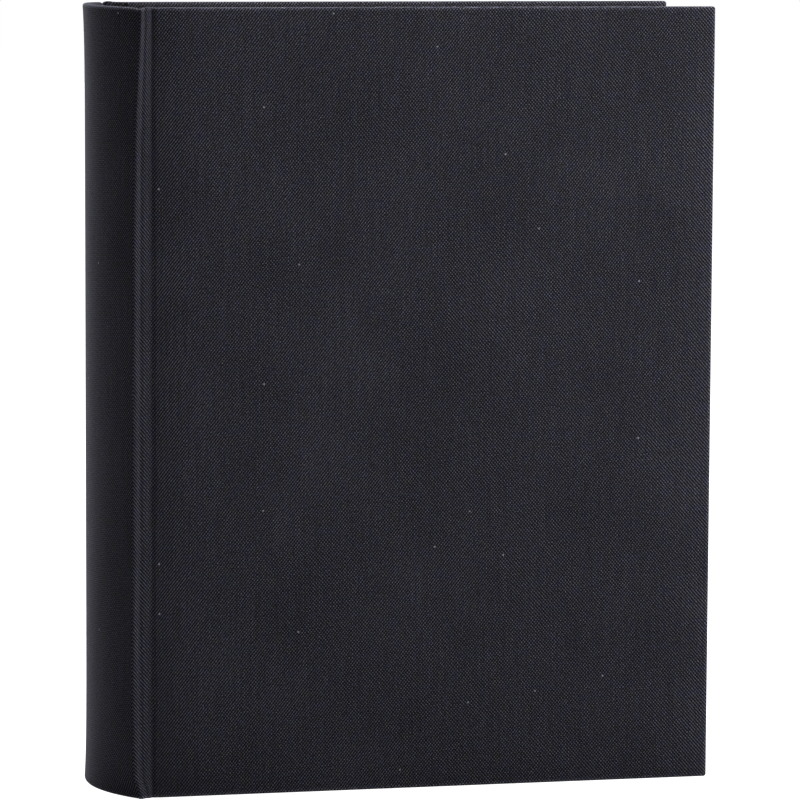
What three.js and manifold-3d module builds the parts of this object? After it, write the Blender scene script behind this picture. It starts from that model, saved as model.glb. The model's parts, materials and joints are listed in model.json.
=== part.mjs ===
// A photo album bound like a book, standing on its tail: two cloth-covered boards, a rounded hollow
// spine, and sixty photo leaves with glassine sheets between them, bound on guards in twenty sections.
// Millimetres. +Z runs from tail to head, +X from the spine to the fore-edge, and the front cover
// faces -Y. The origin is on the surface that the album stands on, under the middle of its outline.

import * as THREE from 'three';
import { mergeVertices } from 'three/addons/utils/BufferGeometryUtils.js';
import Module from 'manifold-3d';

const wasm = await Module();
wasm.setup();

// The case
const HEIGHT = 320;
const THICKNESS = 75.5; // over both covers
const COVER_WIDTH = 231.3; // from the hinge edge of a cover, at X = 0 of the case, to the fore-edge
const CLOTH = 0.4;
const GLUE = 0.1; // clearance between glued layers
const BOARD = 2.3;
const PAPER = 0.15; // endpaper
const INLAY = 1.2; // the card that stiffens the spine
const PASTEDOWN_X = 1; // where the endpaper changes from the hinge to the board
const TURN_IN = 15; // width of the cloth folded over an edge
const CORNER_RADIUS = 1.5;
const EDGE_ROUNDING = 0.6; // how the cloth softens the edges of a board

// The spine: an arc between the two shoulders, where the grooves of the hinges start
const SHOULDER_X = -11;
const SHOULDER_PROUD = 1.2; // the shoulders stand this far past the covers
const SPINE_BULGE = 11.8;
const INLAY_NARROWER = 1; // the spine's card stops this far short of each shoulder
const HEAD_FLARE = 0.9; // how far the spine opens out at head and tail
const FLARE_REACH = 13; // distance over which the flare dies away

// The block
const SQUARE = 4; // how far the covers reach past the leaves at head and tail
const FORE_EDGE_SQUARE = 5;
const SECTIONS = 20;
const LEAVES_PER_SECTION = 3;
const LEAF = 0.36;
const GLASSINE = 0.04;
const LEAF_TO_GLASSINE = 0.08;
const GLASSINE_SHORTER = 1; // the glassine stops this far inside the leaf's edges
const FILLER = 1.5; // width of the filler that joins the leaves of a section along their hinge
const FLYLEAF = 0.3;
const STUB_SHOWS = 0.8; // the bound part of a leaf shows this far past the guards
const BACK_EDGE_X = -6; // back of the outermost guards
const BACK_BULGE = 9; // the rounding of the block's back
const LEAF_HINGE_X = 14; // the scored line where the leaves turn
const FLYLEAF_HINGE_X = 6;
const HINGE_LEAD = 0.15; // a leaf starts this far past its hinge line
const HINGE_SLOT = 0.95; // the bound part stops this far short of it, so that the leaves can swing
const THREAD = 0.4;
const THREAD_TURN = 3; // radius at which the thread turns from one row to the next
const SEWING_HEIGHTS = [28, 92, 160, 228, 292];
const SEWING_OFFSET = 0.44; // from the back of the block to the middle of the thread
const MULL = 0.3;
const MULL_END = 15; // how far the gauze stops short of head and tail
const LINING = 0.3;
const LINING_END = 6;
const BAND_RADIUS = 0.9;

// Facets
const ARC_FACETS = 20;
const FLARE_STEPS = 10;
const GROOVE_FACETS = 26;
const EDGE_FACETS = 2;
const CORNER_FACETS = 4;
const THREAD_STEPS = 150;
const THREAD_SIDES = 6;
const BAND_SIDES = 10;

// Worked out from the sizes above
const COVER_STACK = CLOTH + GLUE + BOARD + GLUE + CLOTH;
const SPINE_STACK = CLOTH + GLUE + INLAY + GLUE + CLOTH;
const FRONT = -THICKNESS / 2; // outer face of the front cover
const ENDPAPER_DEPTH = COVER_STACK + GLUE;
const FLYLEAF_DEPTH = ENDPAPER_DEPTH + PAPER + 2 * GLUE;
const BLOCK_DEPTH = FLYLEAF_DEPTH + FLYLEAF + 2 * GLUE;
const BLOCK_HALF = THICKNESS / 2 - BLOCK_DEPTH;
const LEAF_COUNT = SECTIONS * LEAVES_PER_SECTION;
const PITCH = (2 * BLOCK_HALF) / LEAF_COUNT;
const LEAF_TAIL = SQUARE;
const LEAF_HEAD = HEIGHT - SQUARE;
const FORE_EDGE = COVER_WIDTH - FORE_EDGE_SQUARE;

/** Circle through the two ends of an arc that bulges towards -X: its centre, radius and half angle. */
function arcThrough(halfChord, bulge, endX) {
  const radius = (halfChord * halfChord + bulge * bulge) / (2 * bulge);
  return { centreX: endX - bulge + radius, radius, halfAngle: Math.asin(halfChord / radius) };
}

const SPINE_ARC = arcThrough(THICKNESS / 2 + SHOULDER_PROUD, SPINE_BULGE, SHOULDER_X);
const BACK_ARC = arcThrough(BLOCK_HALF, BACK_BULGE, BACK_EDGE_X);
const CENTRE_X = (COVER_WIDTH + SHOULDER_X - SPINE_BULGE - HEAD_FLARE) / 2;

// Centre line of the cloth in the front hinge: over the shoulder, across a shallow crease, down into the
// groove and up to the cover. Distance from the cover's hinge edge, and depth below its outer face.
const GROOVE_LINE = [
  [SHOULDER_X + 0.25, -SHOULDER_PROUD],
  [-10.1, -1.22],
  [-9.6, -1.1],
  [-9.0, -0.75],
  [-8.4, -0.28],
  [-7.8, 0.13],
  [-7.3, 0.22],
  [-6.8, 0.16],
  [-6.2, 0.13],
  [-5.6, 0.22],
  [-5.0, 0.42],
  [-4.3, 0.73],
  [-3.7, 0.94],
  [-3.1, 1.0],
  [-2.5, 0.88],
  [-1.7, 0.6],
  [-1.0, 0.36],
  [-0.5, 0.24],
  [-0.1, 0.2],
];

const cloth = new THREE.MeshStandardMaterial({ color: 0x232229, roughness: 0.9, metalness: 0 });
const greyboard = new THREE.MeshStandardMaterial({ color: 0x8c867a, roughness: 0.95, metalness: 0 });
const endpaper = new THREE.MeshStandardMaterial({ color: 0xe9e1cd, roughness: 0.9, metalness: 0 });
const card = new THREE.MeshStandardMaterial({ color: 0xf1e9d6, roughness: 0.9, metalness: 0 });
const glassinePaper = new THREE.MeshStandardMaterial({ color: 0xe8e9e4, roughness: 0.4, metalness: 0 });
const kraft = new THREE.MeshStandardMaterial({ color: 0xb08d5f, roughness: 0.9, metalness: 0 });
const gauze = new THREE.MeshStandardMaterial({ color: 0xe4ddcb, roughness: 0.95, metalness: 0 });
const linenThread = new THREE.MeshStandardMaterial({ color: 0xf0ead8, roughness: 0.8, metalness: 0 });
const darkCotton = new THREE.MeshStandardMaterial({ color: 0x2b2a33, roughness: 0.85, metalness: 0 });

/** A box from its lowest to its highest corner. */
function box(low, high) {
  const size = high.map((value, axis) => value - low[axis]);
  const middle = high.map((value, axis) => (value + low[axis]) / 2);
  return new THREE.BoxGeometry(...size).translate(...middle);
}

/** A plate standing in the XZ plane from low to high, with round corners and, if asked, soft edges. */
function roundedPlate(low, high, softness = 0) {
  const radius = CORNER_RADIUS;
  const [x0, x1] = [low[0] + softness, high[0] - softness];
  const [z0, z1] = [low[2] + softness, high[2] - softness];
  const outline = new THREE.Shape();
  outline.moveTo(x0 + radius, z0);
  outline.lineTo(x1 - radius, z0);
  outline.absarc(x1 - radius, z0 + radius, radius, -Math.PI / 2, 0);
  outline.lineTo(x1, z1 - radius);
  outline.absarc(x1 - radius, z1 - radius, radius, 0, Math.PI / 2);
  outline.lineTo(x0 + radius, z1);
  outline.absarc(x0 + radius, z1 - radius, radius, Math.PI / 2, Math.PI);
  outline.lineTo(x0, z0 + radius);
  outline.absarc(x0 + radius, z0 + radius, radius, Math.PI, (3 * Math.PI) / 2);
  const plate = new THREE.ExtrudeGeometry(outline, {
    depth: high[1] - low[1] - 2 * softness,
    bevelEnabled: softness > 0,
    bevelSize: softness,
    bevelThickness: softness,
    bevelSegments: EDGE_FACETS,
    curveSegments: CORNER_FACETS,
  });
  return plate.rotateX(Math.PI / 2).translate(0, high[1] - softness, 0);
}

/** Points along an arc about (centreX, 0) that bulges towards -X, from the -Y end to the +Y end. */
function arcLine(centreX, radius, halfAngle) {
  const points = [];
  for (let i = 0; i <= ARC_FACETS; i += 1) {
    const angle = halfAngle * ((2 * i) / ARC_FACETS - 1);
    points.push(new THREE.Vector2(centreX - radius * Math.cos(angle), radius * Math.sin(angle)));
  }
  return points;
}

/** The outline of a strip that keeps its thickness along a line in plan. */
function stripOutline(line, thickness) {
  const sides = [[], []];
  line.forEach((point, i) => {
    const before = line[Math.max(i - 1, 0)];
    const after = line[Math.min(i + 1, line.length - 1)];
    const along = after.clone().sub(before).normalize();
    const across = new THREE.Vector2(-along.y, along.x).multiplyScalar(thickness / 2);
    sides[0].push(point.clone().add(across));
    sides[1].unshift(point.clone().sub(across));
  });
  return new THREE.Shape([...sides[0], ...sides[1]]);
}

/** A strip standing upright along a line in plan, from one height to another. */
function uprightStrip(line, thickness, bottom, top, steps = 1) {
  const settings = { depth: top - bottom, steps, bevelEnabled: false };
  return new THREE.ExtrudeGeometry(stripOutline(line, thickness), settings).translate(0, 0, bottom);
}

/** Height of one level of the spine, spaced closer together towards head and tail. */
function spreadHeight(share, bottom, top) {
  return bottom + ((top - bottom) * (1 - Math.cos(Math.PI * share))) / 2;
}

/** A layer of the spine, `depth` below its outer face, that opens out at head and tail. */
function spineLayer(depth, thickness, bottom, top, angleTrim = 0) {
  const { centreX, radius, halfAngle } = SPINE_ARC;
  const line = arcLine(centreX, radius - depth - thickness / 2, halfAngle - angleTrim);
  const layer = uprightStrip(line, thickness, bottom, top, FLARE_STEPS);
  const place = layer.attributes.position;
  for (let i = 0; i < place.count; i += 1) {
    const height = spreadHeight((place.getZ(i) - bottom) / (top - bottom), bottom, top);
    const fromEnd = Math.min(height, HEIGHT - height);
    const fromCentre = new THREE.Vector2(place.getX(i) - centreX, place.getY(i));
    const share = Math.asin(fromCentre.y / fromCentre.length()) / halfAngle;
    const flare = HEAD_FLARE * Math.exp(-fromEnd / FLARE_REACH) * (1 - share * share);
    fromCentre.setLength(fromCentre.length() + flare);
    place.setXYZ(i, centreX + fromCentre.x, fromCentre.y, height);
  }
  return layer;
}

/** A closed mesh as a solid that can be joined and cut. */
function solidOf(geometry) {
  const bare = geometry.clone();
  bare.deleteAttribute('normal');
  bare.deleteAttribute('uv');
  const welded = mergeVertices(bare, 1e-4);
  const vertProperties = new Float32Array(welded.attributes.position.array);
  const triVerts = new Uint32Array(welded.index.array);
  return new wasm.Manifold(new wasm.Mesh({ numProp: 3, vertProperties, triVerts }));
}

/** A solid as a mesh again. */
function geometryOf(solid) {
  const mesh = solid.getMesh();
  const geometry = new THREE.BufferGeometry();
  geometry.setAttribute('position', new THREE.BufferAttribute(mesh.vertProperties, 3));
  geometry.setIndex(new THREE.BufferAttribute(mesh.triVerts, 1));
  return geometry;
}

/** The same piece on the other side of the album. */
function mirrored(geometry) {
  const copy = (geometry.index ? geometry.toNonIndexed() : geometry.clone()).scale(1, -1, 1);
  const place = copy.attributes.position;
  const corner = new THREE.Vector3();
  for (let i = 0; i < place.count; i += 3) {
    corner.fromBufferAttribute(place, i);
    place.copyAt(i, place, i + 1);
    place.setXYZ(i + 1, corner.x, corner.y, corner.z);
  }
  return copy;
}

const album = new THREE.Group();
const caseFrame = new THREE.Group();
caseFrame.position.x = -CENTRE_X;
album.add(caseFrame);

function addPiece(name, geometry, material) {
  const mesh = new THREE.Mesh(geometry, material);
  mesh.name = name;
  caseFrame.add(mesh);
}

/** A piece that each cover has, made for the front and mirrored for the back. */
function addPair(name, geometry, material) {
  addPiece(`front_${name}`, geometry, material);
  addPiece(`back_${name}`, mirrored(geometry), material);
}

function coverBoard() {
  const rim = CLOTH + GLUE;
  const low = [GLUE, FRONT + rim, rim];
  const high = [COVER_WIDTH - rim, FRONT + rim + BOARD, HEIGHT - rim];
  return roundedPlate(low, high);
}

/** The cloth on one cover: its outer face, three wrapped edges and the turn-ins inside. */
function coverCloth() {
  const spare = 5; // what is cut off at the hinge side, where the cloth goes on into the groove
  const wrapped = roundedPlate(
    [-spare, FRONT, 0],
    [COVER_WIDTH, FRONT + COVER_STACK, HEIGHT],
    EDGE_ROUNDING,
  );
  const hingeSide = box(
    [-2 * spare, FRONT - spare, -spare],
    [0, FRONT + COVER_STACK + spare, HEIGHT + spare],
  );
  const boardSpace = roundedPlate(
    [-2 * spare, FRONT + CLOTH, CLOTH],
    [COVER_WIDTH - CLOTH, FRONT + COVER_STACK - CLOTH, HEIGHT - CLOTH],
  );
  const window = box(
    [-spare, FRONT + BOARD, TURN_IN],
    [COVER_WIDTH - TURN_IN, FRONT + COVER_STACK + spare, HEIGHT - TURN_IN],
  );
  const cut = [hingeSide, boardSpace, window].map(solidOf);
  return geometryOf(cut.reduce((left, tool) => left.subtract(tool), solidOf(wrapped)));
}

/** Endpaper glued to the inside of a cover, over the edges of the turn-ins. */
function pastedown() {
  const low = [PASTEDOWN_X, FRONT + ENDPAPER_DEPTH, LEAF_TAIL];
  return box(low, [FORE_EDGE, FRONT + ENDPAPER_DEPTH + PAPER, LEAF_HEAD]);
}

/** Endpaper across the hinge, between the block and the pastedown. */
function jointPaper() {
  const low = [BACK_EDGE_X, FRONT + ENDPAPER_DEPTH, LEAF_TAIL];
  return box(low, [PASTEDOWN_X - GLUE, FRONT + ENDPAPER_DEPTH + PAPER, LEAF_HEAD]);
}

/** Cloth across the hinge, pressed into the groove beside the board. */
function jointCloth() {
  const points = GROOVE_LINE.map(([x, depth]) => new THREE.Vector2(x, FRONT + depth));
  const line = new THREE.SplineCurve(points).getPoints(GROOVE_FACETS);
  return uprightStrip(line, CLOTH, 0, HEIGHT);
}

function flyleaf() {
  const low = [FLYLEAF_HINGE_X + HINGE_LEAD, FRONT + FLYLEAF_DEPTH, LEAF_TAIL];
  return box(low, [FORE_EDGE, FRONT + FLYLEAF_DEPTH + FLYLEAF, LEAF_HEAD]);
}

/** The cloth on the spine: its outer face, wrapped over head and tail, with turn-ins inside. */
function spineCloth() {
  const overrun = 0.02; // turns the cutting arcs past the ends of the cloth's own arc
  const trim = GLUE / SPINE_ARC.radius;
  const wrapped = spineLayer(0, SPINE_STACK, 0, HEIGHT, trim);
  const inlaySpace = spineLayer(CLOTH, SPINE_STACK - 2 * CLOTH, CLOTH, HEIGHT - CLOTH, -overrun);
  const window = spineLayer(SPINE_STACK - 2 * CLOTH, 3 * CLOTH, TURN_IN, HEIGHT - TURN_IN, -overrun);
  return geometryOf(solidOf(wrapped).subtract(solidOf(inlaySpace)).subtract(solidOf(window)));
}

function spineInlay() {
  const rim = CLOTH + GLUE;
  const trim = INLAY_NARROWER / SPINE_ARC.radius;
  return spineLayer(rim, INLAY, rim, HEIGHT - rim, trim);
}

/** Where the sheets of one leaf lie: the leaf, then the glassine on it, in the middle of their pitch. */
function sheetPlaces(leafIndex) {
  const bundle = LEAF + LEAF_TO_GLASSINE + GLASSINE;
  const leaf = -BLOCK_HALF + leafIndex * PITCH + (PITCH - bundle) / 2;
  return { leaf, glassine: leaf + LEAF + LEAF_TO_GLASSINE };
}

/**
 * The bound part of the block in plan: a rounded back, and a hinge side where the end of each leaf
 * shows between the guards. A step at front and back is the glued part of the flyleaf.
 */
function guardBlock() {
  const { centreX, radius, halfAngle } = BACK_ARC;
  const stubEnd = LEAF_HINGE_X - HINGE_SLOT;
  const guardEnd = stubEnd - STUB_SHOWS;
  const stepX = FLYLEAF_HINGE_X - HINGE_SLOT;
  const outer = -FRONT - FLYLEAF_DEPTH;
  const outline = [[BACK_EDGE_X, -outer], [stepX, -outer], [stepX, -BLOCK_HALF], [guardEnd, -BLOCK_HALF]];
  for (let i = 0; i < LEAF_COUNT; i += 1) {
    const y = sheetPlaces(i).leaf;
    outline.push([guardEnd, y], [stubEnd, y], [stubEnd, y + LEAF], [guardEnd, y + LEAF]);
  }
  outline.push([guardEnd, BLOCK_HALF], [stepX, BLOCK_HALF], [stepX, outer], [BACK_EDGE_X, outer]);
  const points = outline.map(([x, y]) => new THREE.Vector2(x, y));
  const back = arcLine(centreX, radius, halfAngle).reverse();
  const shape = new THREE.Shape([...points, ...back]);
  const settings = { depth: LEAF_HEAD - LEAF_TAIL, bevelEnabled: false };
  return new THREE.ExtrudeGeometry(shape, settings).translate(0, 0, LEAF_TAIL);
}

/** The three leaves of one section, joined along their hinge by a narrow filler. */
function sectionLeaves(section) {
  const start = LEAF_HINGE_X + HINGE_LEAD;
  const fillerEnd = start + FILLER;
  const first = section * LEAVES_PER_SECTION;
  const outline = [];
  for (let i = 0; i < LEAVES_PER_SECTION; i += 1) {
    const y = sheetPlaces(first + i).leaf;
    outline.push([i === 0 ? start : fillerEnd, y], [FORE_EDGE, y], [FORE_EDGE, y + LEAF]);
    outline.push([i === LEAVES_PER_SECTION - 1 ? start : fillerEnd, y + LEAF]);
  }
  const shape = new THREE.Shape(outline.map(([x, y]) => new THREE.Vector2(x, y)));
  const settings = { depth: LEAF_HEAD - LEAF_TAIL, bevelEnabled: false };
  return new THREE.ExtrudeGeometry(shape, settings).translate(0, 0, LEAF_TAIL);
}

/** The glassine sheet on the first leaf of a section. */
function glassineSheet(section) {
  const y = sheetPlaces(section * LEAVES_PER_SECTION).glassine;
  const low = [LEAF_HINGE_X + HINGE_LEAD + FILLER + GLUE, y, LEAF_TAIL + GLASSINE_SHORTER];
  return box(low, [FORE_EDGE - GLASSINE_SHORTER, y + GLASSINE, LEAF_HEAD - GLASSINE_SHORTER]);
}

/** A round section with flat sides, for a thread or a bead. */
function roundSection(radius, sides) {
  const corners = [];
  for (let i = 0; i < sides; i += 1) {
    const angle = (2 * Math.PI * i) / sides;
    corners.push(new THREE.Vector2(radius * Math.cos(angle), radius * Math.sin(angle)));
  }
  return new THREE.Shape(corners);
}

/** A point on the back of the block, `offset` outside it. */
function onTheBack(offset, angle, height) {
  const radius = BACK_ARC.radius + offset;
  return new THREE.Vector3(BACK_ARC.centreX - radius * Math.cos(angle), radius * Math.sin(angle), height);
}

/** The sewing: one thread that crosses the back in five rows, and climbs from each row to the next. */
function sewingThread() {
  const turnAngle = THREAD_TURN / BACK_ARC.radius;
  const reach = BACK_ARC.halfAngle - 2 * turnAngle;
  const route = [];
  SEWING_HEIGHTS.forEach((height, row) => {
    const side = row % 2 === 0 ? 1 : -1;
    for (let i = 0; i <= ARC_FACETS / 2; i += 1) {
      route.push(onTheBack(SEWING_OFFSET, side * reach * ((4 * i) / ARC_FACETS - 1), height));
    }
    if (row < SEWING_HEIGHTS.length - 1) {
      const next = SEWING_HEIGHTS[row + 1];
      const climb = [height + THREAD_TURN, (height + next) / 2, next - THREAD_TURN];
      const turn = side * (reach + turnAngle);
      climb.forEach((level) => route.push(onTheBack(SEWING_OFFSET, turn, level)));
    }
  });
  const path = new THREE.CatmullRomCurve3(route, false, 'centripetal');
  const section = roundSection(THREAD / 2, THREAD_SIDES);
  return new THREE.ExtrudeGeometry(section, { steps: THREAD_STEPS, extrudePath: path });
}

/** The woven bead that finishes the block's back at its head or tail. */
function endBand(height) {
  const route = [];
  for (let i = 0; i <= ARC_FACETS; i += 1) {
    const angle = BACK_ARC.halfAngle * ((2 * i) / ARC_FACETS - 1);
    route.push(onTheBack(-BAND_RADIUS, angle, height));
  }
  const path = new THREE.CatmullRomCurve3(route);
  const section = roundSection(BAND_RADIUS, BAND_SIDES);
  return new THREE.ExtrudeGeometry(section, { steps: ARC_FACETS, extrudePath: path });
}

/** A layer glued round the block's back, over the sewing. */
function backLayer(offset, thickness, bottom, top) {
  const { centreX, radius, halfAngle } = BACK_ARC;
  const line = arcLine(centreX, radius + offset + thickness / 2, halfAngle);
  return uprightStrip(line, thickness, bottom, top);
}

const MULL_OFFSET = 2 * THREAD;
const LINING_OFFSET = MULL_OFFSET + MULL + GLUE;

addPair('board', coverBoard(), greyboard);
addPair('cover_cloth', coverCloth(), cloth);
addPair('pastedown', pastedown(), endpaper);
addPair('joint_cloth', jointCloth(), cloth);
addPair('joint_paper', jointPaper(), endpaper);
addPair('flyleaf', flyleaf(), endpaper);
addPiece('spine_cloth', spineCloth(), cloth);
addPiece('spine_inlay', spineInlay(), greyboard);
addPiece('guard_block', guardBlock(), card);
addPiece('sewing_thread', sewingThread(), linenThread);
addPiece('mull_lining', backLayer(MULL_OFFSET, MULL, MULL_END, HEIGHT - MULL_END), gauze);
addPiece('spine_lining', backLayer(LINING_OFFSET, LINING, LINING_END, HEIGHT - LINING_END), kraft);
addPiece('tail_band', endBand(LEAF_TAIL - GLUE - BAND_RADIUS), darkCotton);
addPiece('head_band', endBand(LEAF_HEAD + GLUE + BAND_RADIUS), darkCotton);
for (let section = 0; section < SECTIONS; section += 1) {
  const number = String(section + 1).padStart(2, '0');
  addPiece(`leaves_${number}`, sectionLeaves(section), card);
  addPiece(`glassine_${number}`, glassineSheet(section), glassinePaper);
}

export default album;
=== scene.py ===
# %% [markdown]
# # A photo album bound like a book
# The album stands on its tail with the spine to the left. Its case is one sheet of near-black bookcloth
# over two boards and a rounded, hollow spine. Inside are sixty card leaves with glassine between them.
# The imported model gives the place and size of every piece; this script gives each one its real surface.

# %% Load the fixed frame
import json
import math
import random

import bmesh
import bpy
from mathutils import Matrix, Vector, noise


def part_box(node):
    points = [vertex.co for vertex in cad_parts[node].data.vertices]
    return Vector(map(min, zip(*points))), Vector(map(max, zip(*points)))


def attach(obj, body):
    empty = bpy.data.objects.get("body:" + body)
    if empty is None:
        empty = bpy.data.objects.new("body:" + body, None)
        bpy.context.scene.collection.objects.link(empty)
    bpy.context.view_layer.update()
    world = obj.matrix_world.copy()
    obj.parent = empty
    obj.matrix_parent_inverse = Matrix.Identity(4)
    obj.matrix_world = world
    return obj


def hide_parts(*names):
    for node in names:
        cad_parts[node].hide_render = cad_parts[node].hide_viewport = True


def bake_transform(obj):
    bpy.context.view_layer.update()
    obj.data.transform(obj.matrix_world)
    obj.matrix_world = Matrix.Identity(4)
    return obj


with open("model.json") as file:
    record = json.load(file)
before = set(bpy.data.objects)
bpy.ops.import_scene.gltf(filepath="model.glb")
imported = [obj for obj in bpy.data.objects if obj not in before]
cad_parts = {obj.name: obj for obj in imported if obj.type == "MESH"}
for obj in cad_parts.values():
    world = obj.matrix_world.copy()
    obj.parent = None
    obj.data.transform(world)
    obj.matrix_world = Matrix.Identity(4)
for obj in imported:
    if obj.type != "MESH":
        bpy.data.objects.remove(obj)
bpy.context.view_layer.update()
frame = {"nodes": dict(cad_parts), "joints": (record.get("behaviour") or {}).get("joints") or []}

# %% [markdown]
# ## Sizes
# A bookbinder measures from the hinge edge of the boards. The pieces are made in that frame, in
# millimetres, and moved at the end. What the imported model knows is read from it.

# %% Sizes of the case and the block
MM = 0.001
cover_low, cover_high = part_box("front_cover_cloth")
leaf_low, leaf_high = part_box("leaves_01")
HINGE_X = cover_low.x
COVER_WIDTH = (cover_high.x - HINGE_X) / MM
COVER_STACK = (cover_high.y - cover_low.y) / MM
HEIGHT = cover_high.z / MM
FRONT = cover_low.y / MM
CLOTH = 0.35  # thickness of the bookcloth
TURN_IN = 15.0  # width of the cloth folded over an edge
SHOULDER_X = -11.0  # where the arc of the spine ends in a shoulder
SHOULDER_PROUD = 1.2  # the shoulders stand this far past the covers
SPINE_BULGE = 11.8
SPINE_STACK = 2.2  # cloth, card and turned-in cloth
HEAD_FLARE = 0.9  # how far the spine opens out at head and tail
FLARE_REACH = 13.0
SECTIONS = 20
PER_SECTION = 3
LEAF_COUNT = SECTIONS * PER_SECTION
LEAF = 0.36
GLASSINE = 0.05
FLYLEAF = 0.3
FLYLEAF_DEPTH = 3.75  # from the face of a cover to the flyleaf
BLOCK_DEPTH = 4.25  # from the face of a cover to the block of leaves
BLOCK_HALF = -FRONT - BLOCK_DEPTH
PITCH = 2 * BLOCK_HALF / LEAF_COUNT
LEAF_TAIL = leaf_low.z / MM
LEAF_HEAD = leaf_high.z / MM
FORE_EDGE = (leaf_high.x - HINGE_X) / MM
LEAF_HINGE_X = 14.0  # the scored line where the leaves turn
FLYLEAF_HINGE_X = 6.0
BACK_EDGE_X = -6.0  # back of the outermost leaves
BACK_BULGE = 9.0  # the rounding of the block's back
print(f"case {COVER_WIDTH:.1f} x {-2 * FRONT:.1f} x {HEIGHT:.1f} mm, pitch {PITCH:.3f} mm")

# %% [markdown]
# ## Camera
# The photo was taken with a long lens from above the album and to its left, so the spine shows. These
# values were fitted to the straight edges of the boards.

# %% Camera
CAMERA_AZIMUTH = math.radians(12.93)
CAMERA_DISTANCE = 1926.7
CAMERA_HEIGHT = 380.36
CAMERA_ASIDE = 105.49
CAMERA_PITCH = math.radians(6.556)
CAMERA_ROLL = math.radians(0.2875)
FOCAL_PIXELS = 4730.3
IMAGE_PIXELS = 800
SENSOR = 36.0


def place_camera():
    """Sets up the camera that was fitted to the photo."""
    along = Vector((math.sin(CAMERA_AZIMUTH), math.cos(CAMERA_AZIMUTH), 0))
    across = Vector((math.cos(CAMERA_AZIMUTH), -math.sin(CAMERA_AZIMUTH), 0))
    up = Vector((0, 0, 1))
    eye = (CAMERA_ASIDE * across - CAMERA_DISTANCE * along + CAMERA_HEIGHT * up) * MM
    eye.x += HINGE_X
    forward = math.cos(CAMERA_PITCH) * along - math.sin(CAMERA_PITCH) * up
    top = math.sin(CAMERA_PITCH) * along + math.cos(CAMERA_PITCH) * up
    turn, lean = math.cos(CAMERA_ROLL), math.sin(CAMERA_ROLL)
    right = turn * across + lean * top
    top = turn * top - lean * across
    camera = bpy.data.objects.new("camera", bpy.data.cameras.new("camera"))
    bpy.context.scene.collection.objects.link(camera)
    axes = Matrix((right, top, -forward)).transposed().to_4x4()
    camera.matrix_world = Matrix.Translation(eye) @ axes
    camera.data.sensor_width = SENSOR
    camera.data.lens = FOCAL_PIXELS / IMAGE_PIXELS * SENSOR
    camera.data.clip_start = 0.05
    camera.data.clip_end = 30
    bpy.context.scene.camera = camera
    return camera


camera = place_camera()
print("lens", round(camera.data.lens, 1), "mm")

# %% [markdown]
# ## Helpers for shading nodes
# A finish is built from many small nodes. These functions make and link one each, so that the lines
# which use them read like the sum that they work out.

# %% Helpers for nodes
def feed(tree, node, inputs):
    """Sets a node's inputs to values, or links them to sockets."""
    for name, value in inputs.items():
        if isinstance(value, bpy.types.NodeSocket):
            tree.links.new(value, node.inputs[name])
        else:
            node.inputs[name].default_value = value


def make(tree, kind, inputs=None, **properties):
    """A node with its properties set and its inputs fed."""
    node = tree.nodes.new(kind)
    for name, value in properties.items():
        setattr(node, name, value)
    feed(tree, node, inputs or {})
    return node


def maths(tree, operation, *values):
    """The result of one arithmetic step."""
    return make(tree, "ShaderNodeMath", dict(enumerate(values)), operation=operation).outputs[0]


def mix(tree, factor, first, second):
    """A colour between two colours, which are the node's sockets 6 and 7."""
    return make(tree, "ShaderNodeMix", {0: factor, 6: first, 7: second}, data_type="RGBA").outputs[2]


def scaled(tree, vector, factor):
    """A colour or vector times a number."""
    inputs = {0: vector, "Scale": factor}
    return make(tree, "ShaderNodeVectorMath", inputs, operation="SCALE").outputs[0]


def blotches(tree, vector, scale, detail=2.0):
    """Soft noise in blotches of about 1 / scale."""
    inputs = {"Vector": vector, "Scale": scale, "Detail": detail}
    return make(tree, "ShaderNodeTexNoise", inputs).outputs[0]


def between(tree, value, low, high, to_low=0.0, to_high=1.0):
    """A value's place between low and high, kept inside the new range."""
    inputs = {"Value": value, "From Min": low, "From Max": high, "To Min": to_low, "To Max": to_high}
    return make(tree, "ShaderNodeMapRange", inputs).outputs[0]


def empty_material(name):
    """A new material, its tree and its Principled BSDF."""
    material = bpy.data.materials.new(name)
    material.use_nodes = True
    tree = material.node_tree
    return material, tree, tree.nodes["Principled BSDF"]


def relief(tree, height, strength, depth):
    """A normal for fine relief, `depth` metres high."""
    inputs = {"Height": height, "Strength": strength, "Distance": depth}
    return make(tree, "ShaderNodeBump", inputs).outputs[0]


def parts_of(tree, vector):
    """The X, Y and Z of a vector, by name."""
    return make(tree, "ShaderNodeSeparateXYZ", {"Vector": vector}).outputs


def joined(tree, x, y):
    """A vector in the plane."""
    return make(tree, "ShaderNodeCombineXYZ", {"X": x, "Y": y}).outputs[0]


print("helpers for nodes ready")

# %% [markdown]
# ## Floor and light
# The album stands on white card in a light tent. White behind it gives the soft rim on the far side of
# the spine, and a soft light from the upper right grazes the front cover. Card and tent are overexposed,
# so the camera sees them white, whatever light they send out.

# %% World and floor
TENT_BEHIND = 1.04  # strength of the light from behind
OVEREXPOSED = 0.97  # extra brightness of the card, for the camera only
CARD_GREY = 0.35  # what the card sends back to the album
FLOOR_REACH = 6  # metres from the album to the card's edge


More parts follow.
